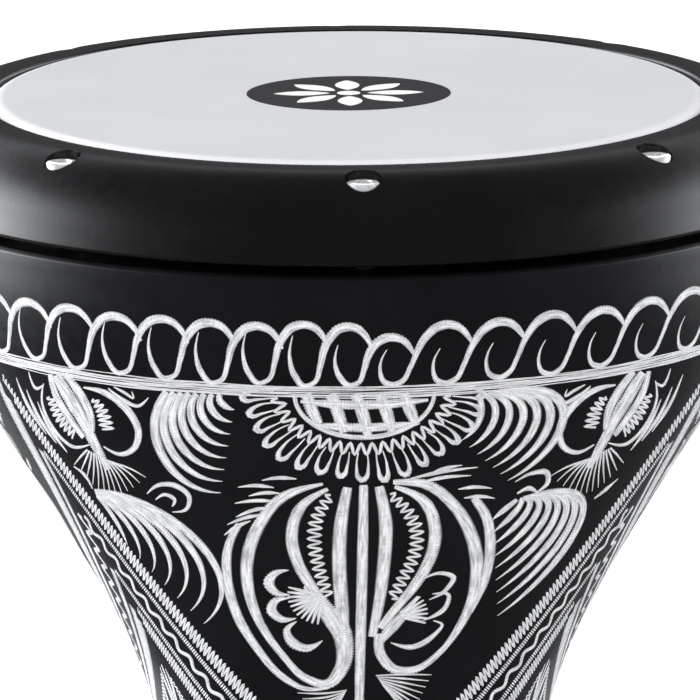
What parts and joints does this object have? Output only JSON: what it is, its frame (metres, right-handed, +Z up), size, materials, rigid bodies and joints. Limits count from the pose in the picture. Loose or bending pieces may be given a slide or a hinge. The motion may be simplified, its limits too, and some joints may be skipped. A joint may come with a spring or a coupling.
{
  "type": "goblet drum",
  "caption": "Goblet drum with an engraved black cast aluminium shell, a rounded safety rim with sunk tuning bolts and a white film head.",
  "frame": {"origin": "centre of the foot's bottom ring, on the drum's axis", "axes": "+Z up along the drum's axis, towards the playing head; -Y is the front"},
  "size_m": [0.28, 0.28, 0.438],
  "materials": {
    "shell_black": "satin black lacquer on cast aluminium, engraved through to the bright metal",
    "rim_black": "semi-gloss black lacquer on cast aluminium",
    "head_film": "smooth white polyester film",
    "hoop_aluminium": "plain rolled aluminium",
    "bolt_chrome": "bright chrome plate",
    "washer_steel": "zinc plate",
    "head_print": "black ink printed on the film"
  },
  "bodies": {
    "shell": {"shell": "shell_black"},
    "rim": {"rim": "rim_black", "bolt_washer_1": "washer_steel", "bolt_washer_2": "washer_steel", "bolt_washer_3": "washer_steel", "bolt_washer_4": "washer_steel", "bolt_washer_5": "washer_steel", "bolt_washer_6": "washer_steel", "bolt_washer_7": "washer_steel", "bolt_washer_8": "washer_steel"},
    "head": {"drum_head": "head_film", "head_hoop": "hoop_aluminium"},
    "tuning_bolt_1": {"tuning_bolt_1": "bolt_chrome"},
    "tuning_bolt_2": {"tuning_bolt_2": "bolt_chrome"},
    "tuning_bolt_3": {"tuning_bolt_3": "bolt_chrome"},
    "tuning_bolt_4": {"tuning_bolt_4": "bolt_chrome"},
    "tuning_bolt_5": {"tuning_bolt_5": "bolt_chrome"},
    "tuning_bolt_6": {"tuning_bolt_6": "bolt_chrome"},
    "tuning_bolt_7": {"tuning_bolt_7": "bolt_chrome"},
    "tuning_bolt_8": {"tuning_bolt_8": "bolt_chrome"}
  },
  "joints": [
    {"name": "rim_travel", "type": "slide", "parent": "shell", "child": "rim", "axis": [0, 0, 1], "range_m": [0, 0.006]},
    {"name": "head_travel", "type": "slide", "parent": "shell", "child": "head", "axis": [0, 0, 1], "range_m": [0, 0.006]},
    {"name": "bolt_1_turn", "type": "hinge", "parent": "rim", "child": "tuning_bolt_1", "pos_m": [0, -0.125, 0.429], "axis": [0, 0, 1], "range_deg": [0, 2160]},
    {"name": "bolt_2_turn", "type": "hinge", "parent": "rim", "child": "tuning_bolt_2", "pos_m": [0.08839, -0.08839, 0.429], "axis": [0, 0, 1], "range_deg": [0, 2160]},
    {"name": "bolt_3_turn", "type": "hinge", "parent": "rim", "child": "tuning_bolt_3", "pos_m": [0.125, 0, 0.429], "axis": [0, 0, 1], "range_deg": [0, 2160]},
    {"name": "bolt_4_turn", "type": "hinge", "parent": "rim", "child": "tuning_bolt_4", "pos_m": [0.08839, 0.08839, 0.429], "axis": [0, 0, 1], "range_deg": [0, 2160]},
    {"name": "bolt_5_turn", "type": "hinge", "parent": "rim", "child": "tuning_bolt_5", "pos_m": [0, 0.125, 0.429], "axis": [0, 0, 1], "range_deg": [0, 2160]},
    {"name": "bolt_6_turn", "type": "hinge", "parent": "rim", "child": "tuning_bolt_6", "pos_m": [-0.08839, 0.08839, 0.429], "axis": [0, 0, 1], "range_deg": [0, 2160]},
    {"name": "bolt_7_turn", "type": "hinge", "parent": "rim", "child": "tuning_bolt_7", "pos_m": [-0.125, 0, 0.429], "axis": [0, 0, 1], "range_deg": [0, 2160]},
    {"name": "bolt_8_turn", "type": "hinge", "parent": "rim", "child": "tuning_bolt_8", "pos_m": [-0.08839, -0.08839, 0.429], "axis": [0, 0, 1], "range_deg": [0, 2160]}
  ],
  "couplings": [
    {"joint": "head_travel", "follows": "rim_travel", "ratio": 1},
    {"joint": "bolt_1_turn", "follows": "rim_travel", "rad_per_m": 6283.2},
    {"joint": "bolt_2_turn", "follows": "rim_travel", "rad_per_m": 6283.2},
    {"joint": "bolt_3_turn", "follows": "rim_travel", "rad_per_m": 6283.2},
    {"joint": "bolt_4_turn", "follows": "rim_travel", "rad_per_m": 6283.2},
    {"joint": "bolt_5_turn", "follows": "rim_travel", "rad_per_m": 6283.2},
    {"joint": "bolt_6_turn", "follows": "rim_travel", "rad_per_m": 6283.2},
    {"joint": "bolt_7_turn", "follows": "rim_travel", "rad_per_m": 6283.2},
    {"joint": "bolt_8_turn", "follows": "rim_travel", "rad_per_m": 6283.2}
  ]
}
